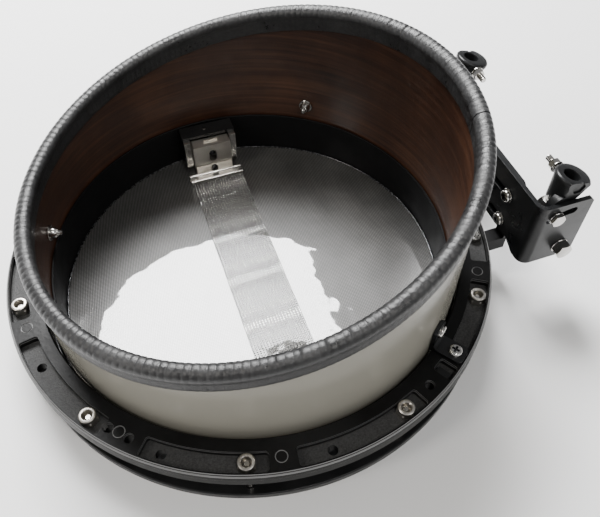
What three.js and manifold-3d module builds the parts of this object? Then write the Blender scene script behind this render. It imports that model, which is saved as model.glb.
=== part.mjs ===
// Marching snare drum, lying on its playing head with the open end up.
// The origin is the centre of the playing face, +Z runs up through the open end,
// and +X points to the side that hangs on the player's carrier. Millimetres.
import * as THREE from 'three';
import { mergeVertices } from 'three/addons/utils/BufferGeometryUtils.js';
import Module from 'manifold-3d';

const wasm = await Module();
wasm.setup();

// ---- driving dimensions ----------------------------------------------------
const RING_FACETS = 48; // every large ring has the same facets, so gaps stay even
const GAP = 0.3; // clearance between pieces that touch

// shell, outer wrap and bearing liner
const SHELL = { inner: 171, outer: 176.9, foot: 1.3, rim: 138 };
const RIM_SLOPE = 0.204; // the open end rises towards the carrier
const WRAP = { inner: 177.2, outer: 177.9, foot: 12, rim: 136 };
const LINER = { inner: 168.6, outer: 170.7, foot: 1.3, top: 44.5 };

// rubber guard pushed over the open rim
const GUARD = { innerLeg: 168.8, outerLeg: 179.6, foot: 127, shoulder: 135 };
const GUARD_BULB = { radius: 6.4, centre: [174.8, 141.4], from: -48, sweep: 276, steps: 6 };
const GUARD_SEAM = { angle: -17, width: 0.9 };

// head, flesh hoop and counterhoop
const HEAD = { outer: 178.4, inner: 177.2, thickness: 1, collar: 9 };
const FLESH_HOOP = { inner: 178.9, outer: 184, foot: 4, top: 10 };
const HOOP = { rimInner: 179.5, lip: 3.7, collarInner: 184.4, collarOuter: 188.5, top: 12 };
const HOOP_FLANGE = { outer: 205.5, foot: -9, top: -1 };

// lugs
const LUGS = 10;
const LUG_STEP = 360 / LUGS;
const LUG_RADIUS = 197.5;
const RING = { inner: 182.5, outer: 208.3, foot: 28, top: 43 };
const POCKET = { floor: 36, inner: 189.8, outer: 206, end: 4.6 }; // it ends 4.6 degrees past a lug
const PAD_END = { plain: 10.5, drilled: 14, braced: 11.5 }; // degrees past a lug where the next pocket starts
const PAD_HOLES = { plain: [], drilled: [5.6, 10.8], braced: [7.8] };
const BRACED_LUGS = [1, 4, 8]; // lugs followed by a shell bracket
const ARM_LUGS = [0, 9]; // lugs followed by a bolted arm of the carrier mount
const BRACE_HALF_ANGLE = 2.8;
const PAD_HOLE_RADIUS = 3.9;
const ROD = { radius: 2.75, headRadius: 5.2, headTop: -3.8, foot: -8.7, top: 40.5 };
const ROD_HOLE_RADIUS = 3.1;
const ROD_RECESS = { radius: 6.3, top: -3.5 };
const NUT = { acrossFlats: 13, top: 44.5, boreTop: 39, mouthRadius: 3.9 };

// brackets that hold the lug ring to the shell
const BRACE = { width: 16, chamfer: 4, thickness: 3, inner: 178.3, outer: 205, top: 70, screwHeight: 61 };
const BRACE_SCREW = { shank: 2.4, head: 5.4, headHeight: 3, washer: 7, nut: 5, innerEnd: 159.5 };
const RING_SCREW = { shank: 2.7, head: 5.6, headHeight: 3.2, foot: 30 };

// carrier mount
const PLATE = { inner: 216.8, outer: 220.2, halfWidth: 64, foot: 38, top: 102 };
const ARM = { centre: 57, width: 13, foot: 20, top: 34, neck: 27.7, inner: 184 };
const ARM_BOLT = { x: 190.5, shank: 3, nut: 5.6, headFoot: 15 };
const LEG = { inner: 212.5, outer: 216.5, foot: 43.5, footEnd: 70, top: 104.5, innerEnd: 20 };
const FLANGE = { outerFace: 97, innerFace: 93, foot: 36.5, reach: 262, bend: 9 };
const LEG_SLOT = { radius: 3.5, from: 30.2, to: 55.8, heights: [54, 83] };
const WIDTH_BOLT = { y: 55.5, shank: 3, head: 5.6 };
const PIVOT = { x: 246.5, z: 51, shank: 4, head: 7.6, proud: 9, nutTo: 79 };
const TILT = { radius: 44.5, rest: -22.5, shank: 3, head: 6.6, proud: 4.4, nutTo: 76 };
const TILT_SLOT = { from: -32, to: -2, half: 3.4 };
const RECEIVER = { top: [243.5, 82, 122], tilt: 15, bore: 7.1 };
const CUP = { outer: 15, foot: 12.6, offset: 1.9, length: 24 };
const RECEIVER_ARM = { face: 92.7, inner: 85.7, neck: [236, 98], neckRadius: 11.5, pivotRadius: 10 };
const LOCK_STUD = { drop: 6, shank: 3, nut: 5.6, tip: 53, nutFrom: 60, nutTo: 65.5 };

// snare units, each on a wall of the shell, and the wires between them
const SNARE = { backFace: 165.4, backInner: 162, halfWidth: 26.8, top: 44.5, topFront: 148.6 };
const RAIL = { inner: 19.6, front: 143, back: 149, foot: 7 };
const BLOCK = { halfWidth: 19.2, front: 136, back: 147.6, foot: 16.3, top: 40.5 };
const BLOCK_SLOT = { radius: 3.7, from: 22.8, to: 29.6 };
const LOCK_SCREW = { z: 26.2, head: 3.4, shank: 2.4, front: 138.5 };
const CLAMP = { halfWidth: 18.9, front: 134, foot: 3.6, top: 16 };
const CLAMP_PLATE = { half: 28.5, front: 125, top: 6.2, lip: 2.6 };
const WIRES = { count: 20, pitch: 2.65, side: 1.7, foot: 1.3 };
const WIRE_STRIP = { inner: 126, outer: 134, half: 27.5, top: 3.2 };

// ---- solids ------------------------------------------------------------------
const rad = THREE.MathUtils.degToRad;

function toSolid(geometry) {
  const bare = geometry.clone();
  for (const name of Object.keys(bare.attributes)) {
    if (name !== 'position') bare.deleteAttribute(name);
  }
  const merged = mergeVertices(bare, 1e-4);
  return new wasm.Manifold(new wasm.Mesh({
    numProp: 3,
    vertProperties: new Float32Array(merged.attributes.position.array),
    triVerts: new Uint32Array(merged.index.array),
  }));
}

function toGeometry(solid) {
  const mesh = solid.getMesh();
  const geometry = new THREE.BufferGeometry();
  geometry.setAttribute('position', new THREE.BufferAttribute(new Float32Array(mesh.vertProperties), 3));
  geometry.setIndex(new THREE.BufferAttribute(new Uint32Array(mesh.triVerts), 1));
  geometry.computeVertexNormals();
  return geometry;
}

function join(first, ...rest) {
  return toGeometry(rest.reduce((all, next) => all.add(toSolid(next)), toSolid(first)));
}

function cut(body, tools) {
  return toGeometry(tools.reduce((left, tool) => left.subtract(toSolid(tool)), toSolid(body)));
}

// a closed ring turned about Z from a profile of [radius, height] points, outer side rising
function turned(points) {
  const profile = points.map(([r, z]) => new THREE.Vector2(r, z));
  if (points[0][0] > 0) profile.push(profile[0].clone());
  return new THREE.LatheGeometry(profile, RING_FACETS).rotateX(Math.PI / 2);
}

const tube = (inner, outer, foot, top) => turned([[inner, foot], [outer, foot], [outer, top], [inner, top]]);

// a box between two corners
function block([x0, y0, z0], [x1, y1, z1]) {
  return new THREE.BoxGeometry(x1 - x0, y1 - y0, z1 - z0)
    .translate((x0 + x1) / 2, (y0 + y1) / 2, (z0 + z1) / 2);
}

// round or six-sided bars along each axis, from one coordinate to another
function barZ(radius, from, to, x, y, sides = 12) {
  return new THREE.CylinderGeometry(radius, radius, to - from, sides)
    .rotateX(Math.PI / 2).translate(x, y, (from + to) / 2);
}

function barY(radius, from, to, x, z, sides = 12) {
  const [low, high] = from < to ? [from, to] : [to, from];
  return new THREE.CylinderGeometry(radius, radius, high - low, sides).translate(x, (low + high) / 2, z);
}

function barX(radius, from, to, y, z, sides = 12) {
  return new THREE.CylinderGeometry(radius, radius, to - from, sides)
    .rotateZ(Math.PI / 2).translate((from + to) / 2, y, z);
}

// lifts a turned piece to the sloping rim: heights at or above `from` rise by the slope times x
function slope(geometry, from) {
  const at = geometry.attributes.position;
  for (let i = 0; i < at.count; i += 1) {
    if (at.getZ(i) >= from) at.setZ(i, at.getZ(i) + RIM_SLOPE * at.getX(i));
  }
  return geometry;
}

function extruded(outline, depth, curveSegments = 4) {
  return new THREE.ExtrudeGeometry(outline, { depth, bevelEnabled: false, curveSegments });
}

const polar = (radius, degrees) => [radius * Math.cos(rad(degrees)), radius * Math.sin(rad(degrees))];

// ---- scene graph -------------------------------------------------------------
const group = new THREE.Group();

const FINISH = {
  wood: { color: 0x3a2018, roughness: 0.35, metalness: 0 },
  wrap: { color: 0xa8a49a, roughness: 0.12, metalness: 0 },
  liner: { color: 0x0c0d0e, roughness: 0.4, metalness: 0 },
  rubber: { color: 0x55565a, roughness: 0.45, metalness: 0 },
  head: { color: 0x6f7072, roughness: 0.3, metalness: 0 },
  blackCast: { color: 0x15171a, roughness: 0.42, metalness: 0.5 },
  blackSteel: { color: 0x1b1e21, roughness: 0.35, metalness: 0.6 },
  chrome: { color: 0xc9c5bc, roughness: 0.18, metalness: 1 },
  nickel: { color: 0xb5b2aa, roughness: 0.3, metalness: 1 },
};

function add(name, geometry, finish, place = {}) {
  const mesh = new THREE.Mesh(geometry, new THREE.MeshStandardMaterial(FINISH[finish]));
  mesh.name = name;
  mesh.position.set(...(place.position ?? [0, 0, 0]));
  mesh.rotation.z = rad(place.turn ?? 0);
  group.add(mesh);
}

// leaves a piece drawn for the +Y side there, or turns it over to the -Y side as its mirror image
function flip(geometry, side) {
  if (side > 0) return geometry;
  const at = geometry.attributes.position;
  for (let i = 0; i < at.count; i += 1) at.setY(i, -at.getY(i));
  const { array } = geometry.index;
  for (let i = 0; i < array.length; i += 3) [array[i], array[i + 1]] = [array[i + 1], array[i]];
  geometry.computeVertexNormals();
  return geometry;
}

const two = (n) => String(n).padStart(2, '0');

// ---- shell, liner and guard --------------------------------------------------
const braceAngles = BRACED_LUGS.map((lug) => (lug + 0.5) * LUG_STEP);

function braceHoles(radius) {
  return braceAngles.map((angle) =>
    barX(radius, SHELL.inner - 5, BRACE.inner + 9, 0, BRACE.screwHeight).rotateZ(rad(angle)));
}

const shellBlank = slope(tube(SHELL.inner, SHELL.outer, SHELL.foot, SHELL.rim), SHELL.rim);
const wrapBlank = slope(tube(WRAP.inner, WRAP.outer, WRAP.foot, WRAP.rim), WRAP.rim);
const screwHole = BRACE_SCREW.shank + 0.4;
add('shell', cut(shellBlank, braceHoles(screwHole)), 'wood');
add('outer_wrap', cut(wrapBlank, braceHoles(screwHole)), 'wrap');
add('bearing_liner', tube(LINER.inner, LINER.outer, LINER.foot, LINER.top), 'liner');

function edgeGuard() {
  const channel = { inner: SHELL.inner - GAP, outer: WRAP.outer + GAP, top: SHELL.rim + GAP };
  const profile = [
    [channel.outer, GUARD.foot], [GUARD.outerLeg - 0.4, GUARD.foot], [GUARD.outerLeg, GUARD.shoulder],
  ];
  for (let step = 0; step <= GUARD_BULB.steps; step += 1) {
    const [r, z] = polar(GUARD_BULB.radius, GUARD_BULB.from + (step * GUARD_BULB.sweep) / GUARD_BULB.steps);
    profile.push([GUARD_BULB.centre[0] + r, GUARD_BULB.centre[1] + z]);
  }
  profile.push(
    [GUARD.innerLeg, GUARD.shoulder], [GUARD.innerLeg + 0.3, GUARD.foot],
    [channel.inner, GUARD.foot], [channel.inner, channel.top], [channel.outer, channel.top],
  );
  const half = GUARD_SEAM.width / 2;
  const seam = block([SHELL.inner - 10, -half, GUARD.foot - 30], [SHELL.outer + 10, half, GUARD.foot + 90]);
  return cut(slope(turned(profile), -Infinity), [seam.rotateZ(rad(GUARD_SEAM.angle))]);
}
add('edge_guard', edgeGuard(), 'rubber');

// ---- head and hoops ----------------------------------------------------------
add('batter_head', turned([
  [0, 0], [HEAD.outer, 0], [HEAD.outer, HEAD.collar], [HEAD.inner, HEAD.collar],
  [HEAD.inner, HEAD.thickness], [0, HEAD.thickness],
]), 'head');
const { inner: fleshInner, outer: fleshOuter } = FLESH_HOOP;
add('flesh_hoop', tube(fleshInner, fleshOuter, FLESH_HOOP.foot, FLESH_HOOP.top), 'blackCast');

const lugAngles = Array.from({ length: LUGS }, (_, lug) => lug * LUG_STEP);

function counterHoop() {
  const blank = turned([
    [HOOP.rimInner, HOOP_FLANGE.foot], [HOOP_FLANGE.outer, HOOP_FLANGE.foot],
    [HOOP_FLANGE.outer, HOOP_FLANGE.top],
    [HOOP.collarOuter, HOOP_FLANGE.top], [HOOP.collarOuter, HOOP.top], [HOOP.collarInner, HOOP.top],
    [HOOP.collarInner, HOOP.lip], [HOOP.rimInner, HOOP.lip],
  ]);
  const tools = lugAngles.flatMap((angle) => {
    const [x, y] = polar(LUG_RADIUS, angle);
    return [
      barZ(ROD_HOLE_RADIUS, HOOP_FLANGE.foot - 1, HOOP_FLANGE.top + 1, x, y),
      barZ(ROD_RECESS.radius, HOOP_FLANGE.foot - 1, ROD_RECESS.top, x, y),
    ];
  });
  return cut(blank, tools);
}
add('counter_hoop', counterHoop(), 'blackCast');

// ---- lug ring, rods and nuts -------------------------------------------------
// a sector of a flat ring between two angles, as a cutting tool
function sector(inner, outer, from, to, foot, top) {
  const outline = new THREE.Shape();
  outline.absarc(0, 0, outer, rad(from), rad(to), false);
  outline.absarc(0, 0, inner, rad(to), rad(from), true);
  return extruded(outline, top - foot).translate(0, 0, foot);
}

function lugRing() {
  const tools = [];
  const pocket = (from, to) =>
    tools.push(sector(POCKET.inner, POCKET.outer, from, to, POCKET.floor, RING.top + 1));
  const hole = (radius, atRadius, angle) =>
    tools.push(barZ(radius, RING.foot - 1, RING.top + 1, ...polar(atRadius, angle), 8));
  lugAngles.forEach((angle, lug) => {
    const middle = angle + LUG_STEP / 2;
    const braced = BRACED_LUGS.includes(lug);
    const pad = braced ? 'braced' : ['drilled', 'plain'][lug % 2];
    if (braced) {
      pocket(angle + PAD_END.braced, middle - BRACE_HALF_ANGLE);
      pocket(middle + BRACE_HALF_ANGLE, angle + LUG_STEP + POCKET.end);
      hole(RING_SCREW.shank + 0.4, LUG_RADIUS, middle);
    } else {
      pocket(angle + PAD_END[pad], angle + LUG_STEP + POCKET.end);
      if (!ARM_LUGS.includes(lug)) hole(PAD_HOLE_RADIUS, LUG_RADIUS, middle);
    }
    hole(ROD_HOLE_RADIUS, LUG_RADIUS, angle);
    PAD_HOLES[pad].forEach((offset) => hole(PAD_HOLE_RADIUS, LUG_RADIUS, angle + offset));
  });
  for (const side of [-1, 1]) {
    tools.push(barZ(ARM_BOLT.shank + 0.4, RING.foot - 1, RING.top + 1, ARM_BOLT.x, side * ARM.centre));
  }
  return cut(tube(RING.inner, RING.outer, RING.foot, RING.top), tools);
}
add('lug_ring', lugRing(), 'blackCast');

const rod = join(
  barZ(ROD.radius, ROD.headTop - 0.5, ROD.top, 0, 0, 10),
  barZ(ROD.headRadius, ROD.foot, ROD.headTop, 0, 0, 8),
);
const nutSeat = POCKET.floor + GAP;
const nut = cut(barZ(NUT.acrossFlats / Math.sqrt(3), nutSeat, NUT.top, 0, 0, 6), [
  barZ(ROD_HOLE_RADIUS, nutSeat - 1, NUT.top, 0, 0),
  barZ(NUT.mouthRadius, NUT.boreTop, NUT.top + 1, 0, 0),
]);
lugAngles.forEach((angle, lug) => {
  const place = { position: [...polar(LUG_RADIUS, angle), 0], turn: angle };
  add(`tension_rod_${two(lug + 1)}`, rod, 'chrome', place);
  add(`lug_nut_${two(lug + 1)}`, nut, 'nickel', place);
});

// ---- brackets between ring and shell -----------------------------------------
function shellBrace() {
  const half = BRACE.width / 2;
  const foot = RING.top + GAP;
  const tab = new THREE.Shape();
  tab.moveTo(-half, foot);
  tab.lineTo(half, foot);
  tab.lineTo(half, BRACE.top - half);
  tab.absarc(0, BRACE.top - half, half, 0, Math.PI, false);
  const upright = extruded(tab, BRACE.thickness, 8)
    .rotateX(Math.PI / 2).rotateZ(Math.PI / 2).translate(BRACE.inner, 0, 0);
  const { chamfer } = BRACE;
  const flat = new THREE.Shape([
    [BRACE.inner, -half], [BRACE.outer - chamfer, -half], [BRACE.outer, chamfer - half],
    [BRACE.outer, half - chamfer], [BRACE.outer - chamfer, half], [BRACE.inner, half],
  ].map(([x, y]) => new THREE.Vector2(x, y)));
  const lying = extruded(flat, BRACE.thickness).translate(0, 0, foot);
  const screwTop = foot + BRACE.thickness + RING_SCREW.headHeight;
  const bracket = join(
    upright, lying,
    barZ(RING_SCREW.head, foot + BRACE.thickness - 0.5, screwTop, LUG_RADIUS, 0),
    barZ(RING_SCREW.shank, RING_SCREW.foot, foot + 0.5, LUG_RADIUS, 0, 10),
  );
  const hole = barX(BRACE_SCREW.shank + 0.4, BRACE.inner - 2, BRACE.inner + 9, 0, BRACE.screwHeight);
  return cut(bracket, [hole]);
}

function braceScrew() {
  const seat = BRACE.inner + BRACE.thickness + GAP;
  const wall = SHELL.inner - GAP;
  const at = [0, BRACE.screwHeight];
  return join(
    barX(BRACE_SCREW.shank, BRACE_SCREW.innerEnd, seat + 0.5, ...at, 10),
    barX(BRACE_SCREW.head, seat, seat + BRACE_SCREW.headHeight, ...at),
    barX(BRACE_SCREW.washer, wall - 1.5, wall - 0.2, ...at),
    barX(BRACE_SCREW.nut, wall - 6.5, wall - 1.2, ...at, 6),
  );
}

const brace = shellBrace();
const screw = braceScrew();
['a', 'b', 'c'].forEach((letter, index) => {
  add(`shell_brace_${letter}`, brace, 'blackSteel', { turn: braceAngles[index] });
  add(`brace_screw_${letter}`, screw, 'chrome', { turn: braceAngles[index] });
});

// ---- carrier mount -----------------------------------------------------------
function carrierPlate() {
  const { inner, outer, halfWidth, foot, top } = PLATE;
  const pieces = [block([inner, -halfWidth, foot], [outer, halfWidth, top])];
  const clear = RING.outer + 0.4;
  const tools = [turned([[0, ARM.neck], [clear, ARM.neck], [clear, top], [0, top]])];
  for (const side of [-1, 1]) {
    const [low, high] = [side * ARM.centre - ARM.width / 2, side * ARM.centre + ARM.width / 2];
    pieces.push(block([ARM.inner, low, ARM.foot], [outer, high, ARM.top]));
    pieces.push(block([inner, low, ARM.foot], [outer, high, foot + 2]));
    tools.push(barZ(ARM_BOLT.shank + 0.4, ARM.foot - 1, ARM.top, ARM_BOLT.x, side * ARM.centre));
    for (const height of LEG_SLOT.heights) {
      tools.push(barX(WIDTH_BOLT.shank + 0.4, inner - 1, outer + 1, side * WIDTH_BOLT.y, height));
    }
  }
  return cut(join(...pieces), tools);
}
add('carrier_plate', carrierPlate(), 'blackSteel');

function armBolt(side) {
  const at = [ARM_BOLT.x, side * ARM.centre];
  return join(
    barZ(ARM_BOLT.shank, ARM.foot - 1, nutSeat + 7, ...at, 10),
    barZ(ARM_BOLT.nut, nutSeat, nutSeat + 5, ...at, 6),
    barZ(ARM_BOLT.nut, ARM_BOLT.headFoot, ARM.foot - GAP, ...at, 6),
  );
}

// an L of plate: a slotted leg on the carrier plate and a flange that reaches outwards,
// drawn for the +Y side
function widthBracket(side) {
  const { bend, outerFace, innerFace } = FLANGE;
  const thickness = outerFace - innerFace;
  const centre = [LEG.inner + bend, outerFace - bend];
  const outline = new THREE.Shape();
  outline.moveTo(LEG.inner, LEG.innerEnd);
  outline.lineTo(LEG.outer, LEG.innerEnd);
  outline.absarc(...centre, bend - thickness, Math.PI, Math.PI / 2, true);
  outline.lineTo(FLANGE.reach, innerFace);
  outline.lineTo(FLANGE.reach, outerFace);
  outline.absarc(...centre, bend, Math.PI / 2, Math.PI, false);
  const blank = extruded(outline, LEG.top - FLANGE.foot).translate(0, 0, FLANGE.foot);
  const through = [LEG.inner - 1, LEG.outer + 1];
  const tools = [block([through[0], 0, FLANGE.foot - 1], [through[1], LEG.footEnd, LEG.foot])];
  for (const height of LEG_SLOT.heights) {
    const { radius, from, to } = LEG_SLOT;
    tools.push(block([through[0], from, height - radius], [through[1], to, height + radius]));
    tools.push(barX(radius, ...through, from, height));
    tools.push(barX(radius, ...through, to, height));
  }
  tools.push(barY(PIVOT.shank + 0.35, innerFace - 1, outerFace + 1, PIVOT.x, PIVOT.z));
  tools.push(tiltSlot());
  return flip(cut(blank, tools), side);
}

// the curved slot that the tilt bolt slides along, centred on the pivot
function tiltSlot() {
  const { radius } = TILT;
  const { from, to, half } = TILT_SLOT;
  const depth = FLANGE.outerFace - FLANGE.innerFace + 4;
  const angle = (tilt) => rad(90 - tilt);
  const end = (tilt) => polar(radius, 90 - tilt);
  const outline = new THREE.Shape();
  outline.absarc(0, 0, radius + half, angle(to), angle(from), false);
  outline.absarc(...end(from), half, angle(from), angle(from) + Math.PI, false);
  outline.absarc(0, 0, radius - half, angle(from), angle(to), true);
  outline.absarc(...end(to), half, angle(to) + Math.PI, angle(to) + 2 * Math.PI, false);
  return extruded(outline, depth)
    .rotateX(Math.PI / 2)
    .translate(PIVOT.x, (FLANGE.innerFace + FLANGE.outerFace + depth) / 2, PIVOT.z);
}

// a bolt along Y through the flange: head outside, nut inside
function flangeBolt(side, x, z, { shank, head, proud, nutTo }) {
  const seat = FLANGE.outerFace + GAP;
  const nutFrom = RECEIVER_ARM.inner - GAP;
  return flip(join(
    barY(shank, nutTo - 1, seat + 1, x, z),
    barY(head, seat, seat + proud, x, z, 6),
    barY(head * 0.9, nutTo, nutFrom, x, z, 6),
  ), side);
}

function widthBolt(side, height) {
  const at = [side * WIDTH_BOLT.y, height];
  return join(
    barX(WIDTH_BOLT.shank, LEG.inner - 1, PLATE.outer + 5, ...at, 8),
    barX(WIDTH_BOLT.head, LEG.inner - 4, LEG.inner - GAP, ...at, 10),
    barX(WIDTH_BOLT.head, PLATE.outer + GAP, PLATE.outer + 4.5, ...at, 6),
  );
}

function tiltBoltPlace() {
  const [x, z] = polar(TILT.radius, 90 - TILT.rest);
  return [PIVOT.x + x, PIVOT.z + z];
}

function lockStudPlace() {
  const [x, , z] = RECEIVER.top;
  const lean = rad(RECEIVER.tilt);
  return [x - LOCK_STUD.drop * Math.sin(lean), z - LOCK_STUD.drop * Math.cos(lean)];
}

// a tilted socket for the carrier's rod, on an arm that pivots against the flange
function receiver(side) {
  const { face, inner, neck, neckRadius, pivotRadius } = RECEIVER_ARM;
  const leaning = (geometry) => geometry.rotateY(rad(RECEIVER.tilt)).translate(...RECEIVER.top);
  const cup = new THREE.CylinderGeometry(CUP.outer, CUP.foot, CUP.length, 16)
    .rotateX(Math.PI / 2).translate(CUP.offset, 0, -CUP.length / 2);
  const [reachX, reachZ] = [neck[0] - PIVOT.x, neck[1] - PIVOT.z];
  const along = Math.atan2(reachZ, reachX);
  const spread = Math.acos((pivotRadius - neckRadius) / Math.hypot(reachX, reachZ));
  const outline = new THREE.Shape();
  outline.absarc(...neck, neckRadius, along - spread, along + spread, false);
  outline.absarc(PIVOT.x, PIVOT.z, pivotRadius, along + spread, along - spread + 2 * Math.PI, false);
  const arm = extruded(outline, face - inner, 5).rotateX(Math.PI / 2).translate(0, face, 0);
  const faces = [inner - 2, face + 2];
  const reach = 60;
  return flip(cut(join(arm, leaning(cup)), [
    leaning(barZ(RECEIVER.bore, -CUP.length - 8, 1, 0, 0, 16)),
    barY(PIVOT.shank + 0.35, ...faces, PIVOT.x, PIVOT.z),
    barY(TILT.shank + 0.35, ...faces, ...tiltBoltPlace()),
    block([PIVOT.x - reach, face, PIVOT.z - reach], [PIVOT.x + reach, face + reach, PIVOT.z + 2 * reach]),
    barY(LOCK_STUD.shank + 0.35, LOCK_STUD.tip, RECEIVER.top[1] - 4, ...lockStudPlace()),
  ]), side);
}

function lockStud(side) {
  const wall = RECEIVER.top[1] - RECEIVER.bore - 0.4;
  const at = lockStudPlace();
  return flip(join(
    barY(LOCK_STUD.shank, LOCK_STUD.tip, wall, ...at, 8),
    barY(LOCK_STUD.nut, LOCK_STUD.nutFrom, LOCK_STUD.nutTo, ...at, 6),
  ), side);
}

for (const [name, side] of [['near', -1], ['far', 1]]) {
  add(`arm_bolt_${name}`, armBolt(side), 'chrome');
  add(`width_bracket_${name}`, widthBracket(side), 'blackSteel');
  add(`width_bolt_lower_${name}`, widthBolt(side, LEG_SLOT.heights[0]), 'chrome');
  add(`width_bolt_upper_${name}`, widthBolt(side, LEG_SLOT.heights[1]), 'chrome');
  add(`receiver_${name}`, receiver(side), 'blackCast');
  add(`pivot_bolt_${name}`, flangeBolt(side, PIVOT.x, PIVOT.z, PIVOT), 'chrome');
  add(`tilt_bolt_${name}`, flangeBolt(side, ...tiltBoltPlace(), TILT), 'chrome');
  add(`lock_stud_${name}`, lockStud(side), 'chrome');
}

// ---- snare units -------------------------------------------------------------
function snareBracket() {
  const { halfWidth: half, top } = SNARE;
  const pieces = [
    block([-half, SNARE.backInner, RAIL.foot], [half, SNARE.backFace, top]),
    block([-half, SNARE.topFront, top - 3], [half, SNARE.backFace, top]),
  ];
  for (const side of [-1, 1]) {
    const [low, high] = [side * RAIL.inner, side * (half - 0.3)].sort((a, b) => a - b);
    pieces.push(block([low, RAIL.front, RAIL.foot], [high, RAIL.back, top - 2]));
    const [webLow, webHigh] = [side * (half - 3), side * (half - 0.3)].sort((a, b) => a - b);
    pieces.push(block([webLow, RAIL.back - 1, RAIL.foot], [webHigh, SNARE.backInner + 1, top - 2]));
  }
  const hole = barY(LOCK_SCREW.shank + 0.4, SNARE.backInner - 1, SNARE.backFace + 1, 0, LOCK_SCREW.z);
  return cut(join(...pieces), [hole]);
}

function snareBlock() {
  const { radius, from, to } = BLOCK_SLOT;
  const faces = [BLOCK.front - 1, BLOCK.back + 1];
  return cut(block([-BLOCK.halfWidth, BLOCK.front, BLOCK.foot], [BLOCK.halfWidth, BLOCK.back, BLOCK.top]), [
    block([-radius, faces[0], from], [radius, faces[1], to]),
    barY(radius, ...faces, 0, from),
    barY(radius, ...faces, 0, to),
    block([-6, 139, BLOCK.top - 3], [6, 144, BLOCK.top + 1]),
  ]);
}

function lockScrew() {
  return join(
    barY(LOCK_SCREW.head, LOCK_SCREW.front, BLOCK.back, 0, LOCK_SCREW.z),
    barY(LOCK_SCREW.shank, BLOCK.back - 1, SNARE.backFace - 0.5, 0, LOCK_SCREW.z),
  );
}

function snareClamp() {
  const { foot, front, top, halfWidth } = CLAMP;
  const { half, lip } = CLAMP_PLATE;
  return join(
    block([-halfWidth, front, foot], [halfWidth, BLOCK.back - 0.6, top]),
    block([-half, CLAMP_PLATE.front, foot], [half, front + 1.5, CLAMP_PLATE.top - 1]),
    block([-half, CLAMP_PLATE.front, foot], [half, CLAMP_PLATE.front + lip, CLAMP_PLATE.top]),
  );
}

function snareWires() {
  const { half, inner, outer, top } = WIRE_STRIP;
  const pieces = [
    block([-half, inner, WIRES.foot], [half, outer, top]),
    block([-half, -outer, WIRES.foot], [half, -inner, top]),
  ];
  for (let strand = 0; strand < WIRES.count; strand += 1) {
    const low = (strand - (WIRES.count - 1) / 2) * WIRES.pitch - WIRES.side / 2;
    pieces.push(block([low, -inner - 1, WIRES.foot], [low + WIRES.side, inner + 1, WIRES.foot + WIRES.side]));
  }
  return join(...pieces);
}

for (const [name, turn] of [['strainer', 0], ['butt', 180]]) {
  add(`${name}_bracket`, snareBracket(), 'chrome', { turn });
  add(`${name}_slide_block`, snareBlock(), 'nickel', { turn });
  add(`${name}_lock_screw`, lockScrew(), 'blackSteel', { turn });
  add(`${name}_clamp`, snareClamp(), 'nickel', { turn });
}
add('snare_wires', snareWires(), 'chrome');

export default group;
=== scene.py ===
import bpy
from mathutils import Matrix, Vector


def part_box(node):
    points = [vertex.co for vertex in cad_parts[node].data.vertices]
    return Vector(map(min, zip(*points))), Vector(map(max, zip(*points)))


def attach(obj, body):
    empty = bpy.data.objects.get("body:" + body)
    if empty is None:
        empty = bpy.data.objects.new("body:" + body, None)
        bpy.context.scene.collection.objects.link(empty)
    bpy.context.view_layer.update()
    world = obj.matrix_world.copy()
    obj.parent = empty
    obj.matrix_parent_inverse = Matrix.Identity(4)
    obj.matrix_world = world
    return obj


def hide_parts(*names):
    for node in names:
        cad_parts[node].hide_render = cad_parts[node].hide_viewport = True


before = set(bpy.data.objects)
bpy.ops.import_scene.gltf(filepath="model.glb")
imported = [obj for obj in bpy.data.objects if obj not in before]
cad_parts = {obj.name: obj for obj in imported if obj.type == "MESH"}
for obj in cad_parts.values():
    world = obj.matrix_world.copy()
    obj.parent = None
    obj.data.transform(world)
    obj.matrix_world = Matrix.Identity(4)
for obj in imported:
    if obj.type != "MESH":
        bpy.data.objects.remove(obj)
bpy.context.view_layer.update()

import math

import bmesh
import bpy
from mathutils import Matrix, Vector

# Lengths below are millimetres in the drum's frame: origin at the centre of the playing face,
# +Z up through the open end, +X to the carrier mount. Meshes are scaled to metres when made.
MM = 0.001
RING_STEPS = 288  # segments of every large turned piece
DRILL_STEPS = 24

# ---- driving sizes, read from the frame ----


def corner(node, which):
    """One corner of a CAD node's box, in millimetres: 0 is the lowest, 1 the highest."""
    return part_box(node)[which] / MM


def middle(node):
    return (corner(node, 0) + corner(node, 1)) / 2


SHELL_OUT = corner("shell", 1).x
WRAP_OUT = corner("outer_wrap", 1).x
LINER_OUT = corner("bearing_liner", 1).x
LINER_TOP = corner("bearing_liner", 1).z
HEAD_OUT = corner("batter_head", 1).x
HOOP_OUT = corner("counter_hoop", 1).x
HOOP_FOOT = corner("counter_hoop", 0).z
RING_OUT = corner("lug_ring", 1).x
RING_TOP = corner("lug_ring", 1).z
RING_FOOT = corner("lug_ring", 0).z
RING_BAND = 28.2  # how far the ring reaches inwards from its rim
NUT_TOP = corner("lug_nut_01", 1).z
NUT_FOOT = corner("lug_nut_01", 0).z
LUG_RADIUS = (corner("lug_nut_01", 0).x + corner("lug_nut_01", 1).x) / 2
LUGS = 10
LUG_STEP = 360 / LUGS
RIM_SLOPE = 0.204  # rise of the open end for each millimetre along X
RIM = {"shell": 138, "outer_wrap": 136}  # heights of the open end on the axis
SHELL_WALL = 5.9
WRAP_WALL = 0.7
LINER_WALL = 2.1
BRACED_LUGS = (1, 4, 8)  # a bracket stands half a step after each of these lugs
ARM_LUGS = (0, 9)  # the mount's arms are bolted in the pockets after these lugs
BRACE_ANGLES = [(lug + 0.5) * LUG_STEP for lug in BRACED_LUGS]


def rad(degrees):
    return math.radians(degrees)


def polar(radius, degrees):
    return radius * math.cos(rad(degrees)), radius * math.sin(rad(degrees))


# ---- mesh helpers ----


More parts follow.
